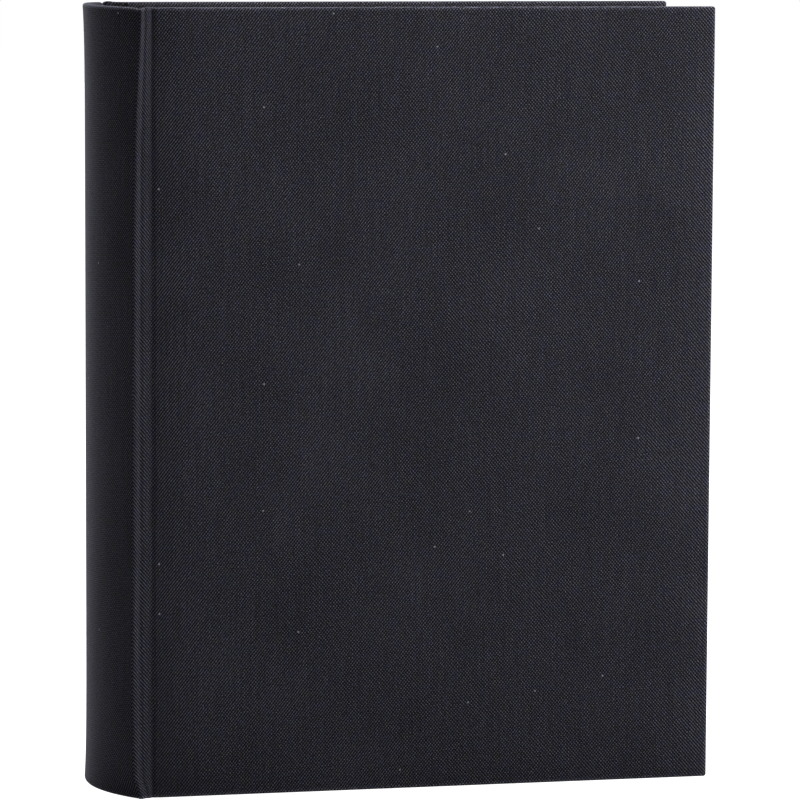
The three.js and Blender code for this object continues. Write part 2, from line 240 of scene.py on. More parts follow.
def white_surroundings():
    """Light from behind the album only, as in a tent with black flags on the camera's side."""
    world = bpy.data.worlds.new("studio")
    bpy.context.scene.world = world
    world.use_nodes = True
    tree = world.node_tree
    tree.nodes.clear()
    direction = make(tree, "ShaderNodeTexCoord").outputs["Generated"]
    behind = between(tree, parts_of(tree, direction)["Y"], 0.0, 0.5, 0.0, TENT_BEHIND)
    shade = make(tree, "ShaderNodeBackground", {"Color": (1, 1, 1.02, 1), "Strength": behind})
    plain = make(tree, "ShaderNodeBackground", {"Color": (1, 1, 1, 1), "Strength": 1.0})
    seen = make(tree, "ShaderNodeLightPath").outputs["Is Camera Ray"]
    both = make(tree, "ShaderNodeMixShader", {0: seen, 1: shade.outputs[0], 2: plain.outputs[0]})
    make(tree, "ShaderNodeOutputWorld", {"Surface": both.outputs[0]})


def pale_floor():
    """White card under the album."""
    bm = bmesh.new()
    bmesh.ops.create_grid(bm, x_segments=2, y_segments=2, size=FLOOR_REACH)
    mesh = bpy.data.meshes.new("floor")
    bm.to_mesh(mesh)
    bm.free()
    floor = bpy.data.objects.new("floor", mesh)
    bpy.context.scene.collection.objects.link(floor)
    material, tree, shader = empty_material("floor_card")
    feed(tree, shader, {"Base Color": (CARD_GREY, CARD_GREY, CARD_GREY, 1), "Roughness": 0.9,
                        "Specular IOR Level": 0.1})
    glow = make(tree, "ShaderNodeEmission", {"Color": (1, 1, 1, 1), "Strength": OVEREXPOSED})
    seen = make(tree, "ShaderNodeLightPath").outputs["Is Camera Ray"]
    lit = make(tree, "ShaderNodeAddShader", {0: shader.outputs[0], 1: glow.outputs[0]})
    card = make(tree, "ShaderNodeMixShader", {0: seen, 1: shader.outputs[0], 2: lit.outputs[0]})
    feed(tree, tree.nodes["Material Output"], {"Surface": card.outputs[0]})
    mesh.materials.append(material)


def soft_light(name, place, towards, size, power):
    """A square area light, placed in metres."""
    light = bpy.data.lights.new(name, "AREA")
    light.size = size
    light.energy = power
    lamp = bpy.data.objects.new(name, light)
    bpy.context.scene.collection.objects.link(lamp)
    lamp.location = place
    lamp.rotation_euler = (Vector(towards) - Vector(place)).to_track_quat("-Z", "Y").to_euler()
    lamp.visible_camera = False


bpy.context.scene.view_settings.view_transform = "Standard"
white_surroundings()
pale_floor()
print("tent and floor ready")

# %% Lights
ALBUM_MIDDLE = (0, 0, 0.16)
KEY_POWER = 8.6
OVERHEAD_POWER = 66
soft_light("key", (0.60, -0.47, 0.58), ALBUM_MIDDLE, 0.5, KEY_POWER)
soft_light("overhead", (0.0, 0.4, 2.2), ALBUM_MIDDLE, 1.8, OVERHEAD_POWER)

# %% [markdown]
# ## Shared effects
# Bookcloth is a plain weave: each thread goes over one and under the next. An image would repeat and
# blur, so two sine waves are multiplied, which gives the chequer and its height. The lean joins the
# threads on top along a slanting line, as in cloth pulled askew. The group puts out the height, which
# thread lies on top, and how bright each one is, because no two are dyed alike.

# %% Plain weave group
def group_with(name, inputs, outputs):
    """An empty group that takes a vector and numbers, with its input and output."""
    tree = bpy.data.node_groups.new(name, "ShaderNodeTree")
    tree.interface.new_socket("Vector", in_out="INPUT", socket_type="NodeSocketVector")
    for socket, value in inputs.items():
        made = tree.interface.new_socket(socket, in_out="INPUT", socket_type="NodeSocketFloat")
        made.default_value = value
    for socket in outputs:
        tree.interface.new_socket(socket, in_out="OUTPUT", socket_type="NodeSocketFloat")
    return tree, tree.nodes.new("NodeGroupInput").outputs, tree.nodes.new("NodeGroupOutput")


WARP_PITCH = 0.00066
WEFT_PITCH = 0.00079
WANDER = 0.0002  # how far threads wander, in metres
ALONG_THREAD = 0.03  # a thread keeps its tone over 1 / this many crossings


def plain_weave():
    """Height, top thread and tones of a plain weave, for a place in metres."""
    tree, given, result = group_with(
        "plain_weave", {"Warp Pitch": WARP_PITCH, "Weft Pitch": WEFT_PITCH, "Weft Slope": 0, "Lean": 0},
        ["Height", "Warp", "Thread", "Fibre"])
    vector = given["Vector"]
    wander = make(tree, "ShaderNodeTexNoise", {"Vector": vector, "Scale": 260.0, "Detail": 2.0})
    centred = make(tree, "ShaderNodeVectorMath", {0: wander.outputs["Color"], 1: (0.5, 0.5, 0.5)},
                   operation="SUBTRACT").outputs[0]
    nudge = scaled(tree, centred, WANDER)
    moved = make(tree, "ShaderNodeVectorMath", {0: vector, 1: nudge}, operation="ADD").outputs[0]
    place = parts_of(tree, moved)
    climb = maths(tree, "MULTIPLY", place["X"], given["Weft Slope"])
    across = maths(tree, "DIVIDE", place["X"], given["Warp Pitch"])
    along = maths(tree, "DIVIDE", maths(tree, "SUBTRACT", place["Y"], climb), given["Weft Pitch"])
    turn_x = maths(tree, "MULTIPLY", across, math.pi)
    turn_y = maths(tree, "MULTIPLY", along, math.pi)
    crossing = maths(tree, "MULTIPLY", maths(tree, "SINE", turn_x), maths(tree, "SINE", turn_y))
    beside = maths(tree, "MULTIPLY", maths(tree, "COSINE", turn_x), maths(tree, "COSINE", turn_y))
    slant = maths(tree, "MULTIPLY", beside, given["Lean"])
    chequer = maths(tree, "ADD", crossing, slant)
    height = maths(tree, "POWER", maths(tree, "ABSOLUTE", chequer), 0.6)
    warp = between(tree, chequer, -0.15, 0.15)
    slow_along = maths(tree, "MULTIPLY", along, ALONG_THREAD)
    slow_across = maths(tree, "MULTIPLY", across, ALONG_THREAD)
    warp_tone = blotches(tree, joined(tree, across, slow_along), 0.9)
    weft_tone = blotches(tree, joined(tree, slow_across, along), 0.9)
    tone = make(tree, "ShaderNodeMix", {"Factor": warp, "A": weft_tone, "B": warp_tone}).outputs[0]
    fibre = blotches(tree, joined(tree, across, along), 1.1, 3.0)
    feed(tree, result, {"Height": height, "Warp": warp, "Thread": tone, "Fibre": fibre})
    return tree


def specks():
    """Specks of dust: the middle of a few cells of a coarse pattern."""
    sizes = {"Cells": 90.0, "Radius": 0.03, "Share": 0.05}
    tree, given, result = group_with("dust_specks", sizes, ["Speck"])
    pattern = {"Vector": given["Vector"], "Scale": given["Cells"]}
    cells = make(tree, "ShaderNodeTexVoronoi", pattern, voronoi_dimensions="2D")
    near = maths(tree, "LESS_THAN", cells.outputs["Distance"], given["Radius"])
    chosen = make(tree, "ShaderNodeSeparateColor", {"Color": cells.outputs["Color"]})
    few = maths(tree, "LESS_THAN", chosen.outputs[0], given["Share"])
    feed(tree, result, {"Speck": maths(tree, "MULTIPLY", near, few)})
    return tree


def placed(tree, group, inputs):
    """A shared group in a material."""
    return make(tree, "ShaderNodeGroup", inputs, node_tree=group)


WEAVE = plain_weave()
SPECKS = specks()
print("shared groups", [g.name for g in bpy.data.node_groups])

# %% [markdown]
# ## Bookcloth
# The threads follow the cloth over boards, grooves and spine, so the pattern reads a UV map in metres: U
# runs round the case and V up it. The weft is drawn much darker than the warp, and the dips between
# threads get a near-black painted shade. Sheen gives the light rim of woven cloth. A painted highlight
# makes the cloth lighter along the boards' rims, and painted shade darkens the board beside the groove.

# %% Bookcloth material
WEFT_SLOPE = 0.08  # the weft climbs a little round the case
# Painted highlight along the cloth's rims, and painted shade on the board beside the groove, darkest at
# its hinge edge.
RIM_HIGHLIGHT_REACH = 0.0016
RIM_HIGHLIGHT_GAIN = 1.3
GROOVE_SHADE = 0.80
GROOVE_SHADE_REACH = 0.018
# Painted shade: near-black in the dips between threads.
GAP_SHADE_COLOUR = (0.002, 0.002, 0.003, 1)
SPECK_COLOUR = (0.2, 0.2, 0.22, 1)
WARP_COLOURS = ((0.070, 0.068, 0.081, 1), (0.066, 0.067, 0.096, 1))
WEFT_COLOURS = ((0.0095, 0.009, 0.011, 1), (0.0085, 0.0085, 0.013, 1))


def painted_rim_light_and_groove_shade(tree, uv):
    """Painted highlight along the rims of the cloth, and painted shade on the board beside the groove."""
    place = parts_of(tree, uv)
    nearest = maths(tree, "ABSOLUTE", maths(tree, "SUBTRACT", place["X"], COVER_WIDTH * MM))
    for edge in (0.0, HEIGHT * MM):
        gap = maths(tree, "ABSOLUTE", maths(tree, "SUBTRACT", place["Y"], edge))
        nearest = maths(tree, "MINIMUM", nearest, gap)
    rim_highlight = between(tree, nearest, 0.0, RIM_HIGHLIGHT_REACH, 1 + RIM_HIGHLIGHT_GAIN, 1.0)
    groove_shade = maths(tree, "ADD", between(tree, place["X"], -0.001, 0.0, 1.0, GROOVE_SHADE),
                    between(tree, place["X"], 0.0, GROOVE_SHADE_REACH, 0.0, 1 - GROOVE_SHADE))
    return maths(tree, "MULTIPLY", rim_highlight, groove_shade)


def pulled_askew(tree, uv):
    """The weave's lean: one way over the groove, the other way on the cover."""
    across = parts_of(tree, uv)["X"]
    lean = maths(tree, "ADD", between(tree, across, -0.0062, -0.002, -0.5, 0.4),
                 maths(tree, "MULTIPLY", across, -2.4))
    lean = maths(tree, "ADD", lean, between(tree, across, 0.212, 0.230, 0.0, -0.3))
    return maths(tree, "ADD", lean, between(tree, blotches(tree, uv, 18.0), 0.3, 0.7, -0.25, 0.25))


def bookcloth(name):
    material, tree, shader = empty_material(name)
    uv = make(tree, "ShaderNodeUVMap", uv_map="cloth").outputs[0]
    weave = placed(tree, WEAVE, {"Vector": uv, "Weft Slope": WEFT_SLOPE, "Lean": pulled_askew(tree, uv)})
    height, warp, thread, fibre = weave.outputs
    blue = between(tree, blotches(tree, uv, 210.0, 3.0), 0.38, 0.62)
    threads = mix(tree, warp, mix(tree, blue, *WEFT_COLOURS), mix(tree, blue, *WARP_COLOURS))
    lit = maths(tree, "MULTIPLY", between(tree, thread, 0.3, 0.7, 0.8, 1.2),
                between(tree, fibre, 0.3, 0.7, 0.4, 1.6))
    # Painted shade in the dips between threads, where the weave is low.
    colour = mix(tree, between(tree, height, 0.1, 0.75), GAP_SHADE_COLOUR, scaled(tree, threads, lit))
    patchy = between(tree, blotches(tree, uv, 22.0, 3.0), 0.3, 0.7, 0.91, 1.09)
    # The painted rim highlight and the painted shade beside the groove scale the colour.
    colour = scaled(tree, scaled(tree, colour, patchy), painted_rim_light_and_groove_shade(tree, uv))
    speck = placed(tree, SPECKS, {"Vector": uv, "Cells": 70.0, "Radius": 0.026, "Share": 0.04})
    feed(tree, shader, {
        "Base Color": mix(tree, speck.outputs[0], colour, SPECK_COLOUR),
        "Roughness": between(tree, thread, 0.3, 0.7, 0.76, 0.88), "Specular IOR Level": 0.06,
        "Sheen Weight": 0.26, "Sheen Roughness": 0.26, "Sheen Tint": (0.75, 0.75, 0.9, 1),
        "Normal": relief(tree, height, 0.6, 0.0001),
    })
    return material


CLOTH_MATERIAL = bookcloth("bookcloth")
print("bookcloth", len(CLOTH_MATERIAL.node_tree.nodes), "nodes")

# %% [markdown]
# ## Card, paper, glassine and board
# Leaf card is thick, cream and a little mottled, glassine is thin, glossy and lets light through,
# greyboard shows flecks, and kraft paper is brown. One function serves all but the glassine.

# %% Paper materials
MOTTLE = 0.96  # brightness of a sheet's darker clouds


def paper(name, colour, fleck, fleck_colour, fibre=1800.0):
    """Card or paper: clouds in its colour, flecks, and a relief of fibres."""
    material, tree, shader = empty_material(name)
    place = make(tree, "ShaderNodeTexCoord").outputs["Object"]
    cloudy = between(tree, blotches(tree, place, 40.0, 4.0), 0.35, 0.65)
    fibres = blotches(tree, place, fibre, 3.0)
    darker = tuple(MOTTLE * c for c in colour)
    base = mix(tree, cloudy, (*darker, 1), (*colour, 1))
    flecks = between(tree, fibres, 0.62, 0.74, 0.0, fleck)
    feed(tree, shader, {
        "Base Color": mix(tree, flecks, base, (*fleck_colour, 1)), "Specular IOR Level": 0.25,
        "Roughness": between(tree, fibres, 0.3, 0.7, 0.79, 0.91),
        "Normal": relief(tree, fibres, 0.5, 0.00003),
    })
    return material


def glassine_paper():
    """Thin, glossy paper that lets a third of the light through."""
    material, tree, shader = empty_material("glassine")
    place = make(tree, "ShaderNodeTexCoord").outputs["Object"]
    cloudy = blotches(tree, place, 120.0, 5.0)
    tone = between(tree, cloudy, 0.35, 0.65)
    feed(tree, shader, {
        "Base Color": mix(tree, tone, (0.86, 0.85, 0.80, 1), (0.90, 0.89, 0.84, 1)),
        "Roughness": between(tree, cloudy, 0.3, 0.7, 0.28, 0.42),
        "Alpha": between(tree, cloudy, 0.3, 0.7, 0.62, 0.72),
        "Normal": relief(tree, cloudy, 0.4, 0.0001),
    })
    return material


LEAF_CARD = paper("leaf_card", (0.74, 0.68, 0.55), 0.15, (0.55, 0.48, 0.36))
# Painted shade: the filler strips are the leaf card drawn darker, so the packed guards look no brighter
# than the leaves with shaded gaps between them.
SHADED_FILLER_CARD = paper("filler_card_painted_shade", (0.50, 0.45, 0.36), 0.3, (0.33, 0.29, 0.22))
ENDPAPER = paper("endpaper", (0.72, 0.66, 0.54), 0.2, (0.54, 0.47, 0.34))
GREYBOARD = paper("greyboard", (0.26, 0.24, 0.20), 0.6, (0.10, 0.09, 0.08), fibre=900.0)
KRAFT = paper("kraft_paper", (0.42, 0.27, 0.13), 0.3, (0.25, 0.15, 0.07), fibre=1200.0)
GLASSINE_PAPER = glassine_paper()
print("papers ready, materials so far", len(bpy.data.materials))

# %% [markdown]
# ## Cotton and linen
# Gauze, sewing thread and bands are woven or wound. Modelled threads would hardly be seen, so the weave
# group draws them too, at their own spacing.

# %% Cotton and linen materials
# Painted shade where the threads dip.
THREAD_DIP_SHADE = 0.45  # brightness of the cloth where its threads dip


def plain_cloth(name, colour, pitch):
    """Undyed woven cotton: gauze, thread and bands."""
    material, tree, shader = empty_material(name)
    place = parts_of(tree, make(tree, "ShaderNodeTexCoord").outputs["Object"])
    flat = joined(tree, place["Y"], place["Z"])
    weave = placed(tree, WEAVE, {"Vector": flat, "Warp Pitch": pitch, "Weft Pitch": pitch})
    height, _, thread, _ = weave.outputs
    # Painted shade: the cloth's colour darkened where the threads dip.
    shadow = tuple(THREAD_DIP_SHADE * c for c in colour)
    feed(tree, shader, {
        "Base Color": mix(tree, between(tree, height, 0.1, 0.8), (*shadow, 1), (*colour, 1)),
        "Roughness": between(tree, thread, 0.3, 0.7, 0.8, 0.95),
        "Normal": relief(tree, height, 0.8, 0.0002),
    })
    return material


MULL = plain_cloth("mull", (0.72, 0.67, 0.55), 0.0009)
THREAD_LINEN = plain_cloth("linen_thread", (0.80, 0.75, 0.63), 0.0004)
BAND_COTTON = plain_cloth("band_cotton", (0.030, 0.029, 0.040), 0.0005)
print("materials", len(bpy.data.materials))

# %% [markdown]
# ## From the bench to the frame
# Every new piece starts as a bmesh, Blender's editable mesh, in millimetres from the hinge edge of the
# front board. One function scales it, moves it into the model's frame, and mirrors it for the back.
# Cloth is easier to shape as a skin, and a modifier gives it its thickness.

# %% Turning a bmesh into a piece
def piece_from(bm, name, material, mirrored=False, sharp=40):
    """Puts a bmesh into the scene. Edges that turn by more than `sharp` degrees stay crisp."""
    if mirrored:
        bmesh.ops.scale(bm, vec=(1, -1, 1), verts=bm.verts)
        bmesh.ops.reverse_faces(bm, faces=bm.faces)
    bmesh.ops.scale(bm, vec=(MM, MM, MM), verts=bm.verts)
    bmesh.ops.translate(bm, vec=(HINGE_X, 0, 0), verts=bm.verts)
    mesh = bpy.data.meshes.new(name)
    bm.edges.index_update()
    open_edges = [edge.index for edge in bm.edges if edge.is_boundary]
    bm.to_mesh(mesh)
    bm.free()
    mesh.materials.append(material)
    mesh.polygons.foreach_set("use_smooth", [True] * len(mesh.polygons))
    mesh.set_sharp_from_angle(angle=math.radians(sharp))
    for index in open_edges:
        mesh.edges[index].use_edge_sharp = True
    piece = bpy.data.objects.new(name, mesh)
    bpy.context.scene.collection.objects.link(piece)
    return piece


def thicken(piece, thickness):
    """Gives a skin its thickness, inwards from its outer face."""
    wall = piece.modifiers.new("thickness", "SOLIDIFY")
    wall.thickness = thickness * MM
    wall.offset = -1
    return piece


def solid(bm, axis, thickness):
    """Turns a skin towards the low end of an axis, and thickens it behind."""
    bmesh.ops.recalc_face_normals(bm, faces=bm.faces)
    if sum(face.normal[axis] for face in bm.faces) > 0:
        bmesh.ops.reverse_faces(bm, faces=bm.faces)
    bmesh.ops.solidify(bm, geom=bm.faces[:], thickness=thickness)
    return bm


def note(piece):
    print(piece.name, len(piece.data.polygons), "faces")


def in_frame(x, y, z):
    """A point of the bench frame, in the model's frame."""
    return Vector((HINGE_X + x * MM, y * MM, z * MM))


print("hinge edge at", in_frame(0, 0, 0))

# %% [markdown]
# ## Cloth on the covers
# A cover is a board wrapped in cloth. A simulation could fold a sheet round it, but glued cloth has no
# free folds. So it starts as a box: corners and rims are rounded, and the hinge side and the window
# between the turn-ins are taken out. Fine cuts let the face swell a little, as glued cloth does.

# %% Cutting a cover and laying its threads
CORNER_RADIUS = 1.1
RIM_RADIUS = 0.7
GRID = 11.0  # distance between the fine cuts
TOUCHING = 0.01  # two places this close are the same


def cut_at(bm, axis, place):
    """Cuts across a whole mesh at one place on an axis."""
    point = Vector((0, 0, 0))
    point[axis] = place
    direction = Vector((0, 0, 0))
    direction[axis] = 1
    everything = bm.verts[:] + bm.edges[:] + bm.faces[:]
    bmesh.ops.bisect_plane(bm, geom=everything, plane_co=point, plane_no=direction)


def cut_grid(bm, axis, length):
    """Cuts across a whole mesh at even steps."""
    count = round(length / GRID)
    for i in range(1, count):
        cut_at(bm, axis, length * i / count)


def is_rim(edge):
    """True where a flat face of the cover meets its outer edges."""
    if len(edge.link_faces) != 2 or max(v.co.x for v in edge.verts) < TOUCHING:
        return False
    facing = [abs(face.normal.y) for face in edge.link_faces]
    return max(facing) > 0.9 and min(facing) < 0.5


def cloth_uv(bm):
    """Lays the cloth's threads on a cover, in metres."""
    layer = bm.loops.layers.uv.new("cloth")
    for face in bm.faces:
        turned = [abs(n) for n in face.normal]
        for loop in face.loops:
            x, y, z = loop.vert.co
            wrap = y - FRONT
            if turned[1] >= max(turned[0], turned[2]):
                place = (x, z)
            elif turned[0] > turned[2]:
                place = (COVER_WIDTH + wrap, z)
            else:
                place = (x, HEIGHT + wrap if z > HEIGHT / 2 else -wrap)
            loop[layer].uv = (place[0] * MM, place[1] * MM)


print("cuts", round(COVER_WIDTH / GRID), "by", round(HEIGHT / GRID))

# %% Cover cloth
SWELL = 0.09
SWELL_SIZE = 70.0
SWELL_SLICE = 3.1  # the slice of the noise that is used
EDGE_RUN = 6.0  # the swell dies away this close to an edge


def wrapped_board():
    """A box with rounded corners and rims, open at its hinge side."""
    bm = bmesh.new()
    bmesh.ops.create_cube(bm, size=1)
    bmesh.ops.scale(bm, vec=(COVER_WIDTH, COVER_STACK, HEIGHT), verts=bm.verts)
    middle = (COVER_WIDTH / 2, FRONT + COVER_STACK / 2, HEIGHT / 2)
    bmesh.ops.translate(bm, vec=middle, verts=bm.verts)
    corners = [e for e in bm.edges if all(v.co.x > 1 for v in e.verts)
               and abs(e.verts[0].co.y - e.verts[1].co.y) > 1]
    bmesh.ops.bevel(bm, geom=corners, offset=CORNER_RADIUS, segments=5, affect="EDGES",
                    profile=0.5, material=-1)
    bm.normal_update()
    rims = [e for e in bm.edges if is_rim(e)]
    bmesh.ops.bevel(bm, geom=rims, offset=RIM_RADIUS, segments=4, affect="EDGES",
                    profile=0.5, material=-1)
    hinge_side = [f for f in bm.faces if all(v.co.x < TOUCHING for v in f.verts)]
    bmesh.ops.delete(bm, geom=hinge_side, context="FACES")
    return bm


def in_window(face):
    """True for a face inside the turn-ins."""
    middle = face.calc_center_median()
    if any(abs(v.co.y - FRONT - COVER_STACK) >= TOUCHING for v in face.verts):
        return False
    return middle.x < COVER_WIDTH - TURN_IN and TURN_IN < middle.z < HEIGHT - TURN_IN


def cover_cloth():
    bm = wrapped_board()
    cut_grid(bm, 0, COVER_WIDTH)
    cut_grid(bm, 2, HEIGHT)
    cut_at(bm, 0, COVER_WIDTH - TURN_IN)
    cut_at(bm, 2, TURN_IN)
    cut_at(bm, 2, HEIGHT - TURN_IN)
    bmesh.ops.delete(bm, geom=[f for f in bm.faces if in_window(f)], context="FACES")
    cloth_uv(bm)
    for vert in bm.verts:
        x, z = vert.co.x, vert.co.z
        swell = noise.noise(Vector((x / SWELL_SIZE, SWELL_SLICE, z / SWELL_SIZE)))
        from_edge = min(x, COVER_WIDTH - x, z, HEIGHT - z)
        vert.co.y += SWELL * min(1, max(0, from_edge / EDGE_RUN)) * (swell + 0.5)
    return bm


for side in ("front", "back"):
    piece = piece_from(cover_cloth(), f"{side}_cover_bookcloth", CLOTH_MATERIAL, side == "back")
    thicken(piece, CLOTH)
    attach(piece, f"{side}_cover")
    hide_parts(f"{side}_cover_cloth")
    note(piece)

# %% [markdown]
# ## A strip of cloth from a line
# Between the boards the cloth is one strip: the arc of the spine, a ridge at each shoulder, and the
# grooves. So a line in plan is extruded up a wall that also wraps over both ends. Each vertex remembers
# its place on both, which gives its UV too. A curve with a bevel wouldn't give that.

# %% Lines in plan
def smooth_line(points, steps):
    """A Catmull-Rom curve through points in plan."""
    line = []
    ends = [2 * points[0] - points[1], *points, 2 * points[-1] - points[-2]]
    for i in range(len(points) - 1):
        a, b, c, d = ends[i:i + 4]
        for j in range(steps):
            t = j / steps
            line.append(0.5 * (2 * b + (c - a) * t + (2 * a - 5 * b + 4 * c - d) * t * t
                               + (3 * b - a - 3 * c + d) * t ** 3))
    line.append(points[-1])
    return line


def running_length(line):
    """Distance along a line to each of its points."""
    lengths = [0.0]
    for before, after in zip(line, line[1:]):
        lengths.append(lengths[-1] + (after - before).length)
    return lengths


def inward_normals(line):
    """Unit vectors across a line in plan, to its left."""
    normals = []
    for i in range(len(line)):
        along = line[min(i + 1, len(line) - 1)] - line[max(i - 1, 0)]
        normals.append(Vector((-along.y, along.x)).normalized())
    return normals


TURN_STEPS = 6  # steps round the fold at head and tail
TURN_IN_LEVELS = (TURN_IN, 11.0, 7.5, 5.0, 3.0)  # heights on the turned-in cloth


def wrapped_wall(levels, fold):
    """(share of the wrap, height): in at the tail, round and up the outside, and in at the head."""
    wall = [(1.0, height) for height in (*TURN_IN_LEVELS, fold)]
    for i in range(1, TURN_STEPS + 1):
        angle = math.pi * i / TURN_STEPS
        wall.append(((1 + math.cos(angle)) / 2, fold * (1 - math.sin(angle))))
    ends = len(wall)
    for i in range(1, levels):
        spread = (1 - math.cos(math.pi * i / levels)) / 2
        wall.append((0.0, fold + (HEIGHT - 2 * fold) * spread))
    wall += [(share, HEIGHT - height) for share, height in reversed(wall[:ends])]
    return wall


print("turn at each end in", TURN_STEPS, "steps")


# %% Sweeping a line up a wall
def extruded_grid(line, levels):
    """Extrudes a line level by level. Each vertex remembers its step and its level."""
    bm = bmesh.new()
    step_of = bm.verts.layers.int.new("step")
    level_of = bm.verts.layers.int.new("level")
    row = [bm.verts.new((point.x, point.y, 0)) for point in line]
    for i, vert in enumerate(row):
        vert[step_of] = i
    edges = [bm.edges.new(pair) for pair in zip(row, row[1:])]
    for level in range(1, levels):
        grown = bmesh.ops.extrude_edge_only(bm, edges=edges)["geom"]
        edges = [item for item in grown if isinstance(item, bmesh.types.BMEdge)]
        for vert in {vert for edge in edges for vert in edge.verts}:
            vert[level_of] = level
        edges = [e for e in edges if all(v[level_of] == level for v in e.verts)]
    return bm, step_of, level_of


def sweep(line, stacks, wall, u_start, flare=None, head_lift=None, stray=None):
    """Extrudes a line up a wall. `stacks` is how far the wrap reaches inwards at each point."""
    bm, step_of, level_of = extruded_grid(line, len(wall))
    across = running_length(line)
    up = running_length([Vector((share * stacks[0], height)) for share, height in wall])
    tail = next(i for i, (share, height) in enumerate(wall) if share < 0.001)
    from_tail = wall[tail][1] - up[tail]
    layer = bm.loops.layers.uv.new("cloth")
    for face in bm.faces:
        for loop in face.loops:
            i, level = loop.vert[step_of], loop.vert[level_of]
            loop[layer].uv = ((u_start + across[i]) * MM, (up[level] + from_tail) * MM)
    normals = inward_normals(line)
    for vert in bm.verts:
        i = vert[step_of]
        share, height = wall[vert[level_of]]
        opened = flare(i, height) if flare else 0
        outer = line[i] + Vector((stray(line[i], height) if stray else 0, 0))
        place = outer + normals[i] * (share * stacks[i] - opened)
        lifted = head_lift(outer, height) if head_lift else 0
        vert.co = (place.x, place.y, height + lifted)
    bmesh.ops.recalc_face_normals(bm, faces=bm.faces)
    return bm


print("levels on a wrapped wall", len(wrapped_wall(30, 1.0)))

# %% [markdown]
# ## Shoulder and head line
# The joint was pressed least near head and tail, where turned-in cloth is thick, so the shoulder strays
# towards the board there. Pressing has also creased the cap over the head. Sculpting could do this, but
# bell curves along X and Z take only a few numbers, which can be set against the photo.

# %% Forms of the spine
SPINE_FACETS = 56
CAP_LIFT = 0.45  # how far the middle of the cap stands up
LIFT_REACH = 5.0
# Place on X, width and height of each crease in the cap.
CREASES = {
    "front": [(-8.2, 1.6, -0.5), (-4.2, 1.2, 0.35)],
    "back": [(-10.6, 0.9, -1.9), (-7.6, 1.5, 0.3)],
}
SLANT = 200.0  # the shoulder leans by 1 in this many
HEAD_STRAY = 2.4
HEAD_STRAY_REACH = 37.0
FOOT_STRAYS = ((0.9, 30.0), (2.3, 4.5))  # a slow and a quick one, each with its reach
FOOT = 1.5  # below this height, where the cloth turns under, they are even
FOOT_RUN = 5.6  # the valley of the groove takes them up over this width
STRAY_END = -2.0  # nearer to the board than this, the cloth stays in place
half_chord = -FRONT + SHOULDER_PROUD
spine_radius = (half_chord ** 2 + SPINE_BULGE ** 2) / (2 * SPINE_BULGE)
spine_centre = SHOULDER_X - SPINE_BULGE + spine_radius
spine_angle = math.asin(half_chord / spine_radius)


def flare_at(share, height):
    """How far the spine opens out, at a share of its half width."""
    from_end = min(height, HEIGHT - height)
    return HEAD_FLARE * math.exp(-from_end / FLARE_REACH) * (1 - share ** 2)


def spine_share(i):
    return 2 * i / SPINE_FACETS - 1


def spine_flare(i, height):
    return flare_at(spine_share(i), height)


def head_line(point, height, side=None):
    """How far the cloth's edge at the head is off the boards' level."""
    lift = CAP_LIFT * max(0, 1 - (point.y / FRONT) ** 2)
    for place, width, most in CREASES[side or ("front" if point.y < 0 else "back")]:
        lift += most * math.exp(-((point.x - place) / width) ** 2)
    return lift * math.exp((height - HEIGHT) / LIFT_REACH)


def front_stray(point, height):
    """How far the front shoulder strays along X. The middle of the spine stays in place."""
    if point.y >= 0:
        return 0
    from_head = HEIGHT - height
    from_foot = max(0, height - FOOT)
    stray = HEAD_STRAY * math.exp(-(from_head / HEAD_STRAY_REACH) ** 2) + 1 - from_head / SLANT
    foot = sum(most * math.exp(-(from_foot / reach) ** 2) for most, reach in FOOT_STRAYS)
    if point.x > SHOULDER_X:
        left = STRAY_END - point.x
        return stray * max(0, left / (STRAY_END - SHOULDER_X)) + foot * min(1, max(0, left / FOOT_RUN))
    return (stray + foot) * (point.y / half_chord) ** 2


print(f"spine radius {spine_radius:.1f} mm, half angle {math.degrees(spine_angle):.1f} degrees")


# %% Spine cloth
def spine_cloth():
    line = []
    for i in range(SPINE_FACETS + 1):
        angle = spine_angle * spine_share(i)
        x = spine_centre - spine_radius * math.cos(angle)
        line.append(Vector((x, spine_radius * math.sin(angle))))
    line.reverse()
    stacks = [SPINE_STACK] * len(line)
    return sweep(line, stacks, wrapped_wall(34, 1.0), 0.0, spine_flare, head_line, front_stray)


piece = thicken(piece_from(spine_cloth(), "spine_bookcloth", CLOTH_MATERIAL), CLOTH)
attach(piece, "spine_and_block")
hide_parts("spine_cloth")
note(piece)

# %% [markdown]
# ## Card in the spine
# A strip of thin board stiffens the hollow spine between two layers of cloth. The model's own inlay is
# straight, and the straying cloth would leave it. So a grid is rolled up along the same arc, flare and
# stray as the cloth, and then given its thickness.

# %% Spine card
SPINE_CARD = 1.2
CARD_RIM = 0.5  # how far the card lies inside the cloth
CARD_SHORT = 1.0  # how far it stops short of each shoulder


def spine_card():
    bm = bmesh.new()
    bmesh.ops.create_grid(bm, x_segments=SPINE_FACETS, y_segments=40, size=0.5)
    widest = spine_angle - CARD_SHORT / spine_radius
    for vert in bm.verts:
        angle = 2 * vert.co.x * widest
        height = HEIGHT / 2 + vert.co.y * (HEIGHT - 2 * CARD_RIM)
        radius = spine_radius - CARD_RIM + flare_at(angle / spine_angle, height)
        place = Vector((spine_centre - radius * math.cos(angle), radius * math.sin(angle)))
        vert.co = (place.x + front_stray(place, height), place.y, height)
    return solid(bm, 0, SPINE_CARD)


piece = piece_from(spine_card(), "spine_card", GREYBOARD, sharp=30)
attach(piece, "spine_and_block")
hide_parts("spine_inlay")
note(piece)

# %% [markdown]
# ## Cloth in the grooves
# Between shoulder and board a hot tool pressed the groove. Its section is a curve through points set
# against the light and shade in the photo. This cloth is the cover's hinge.

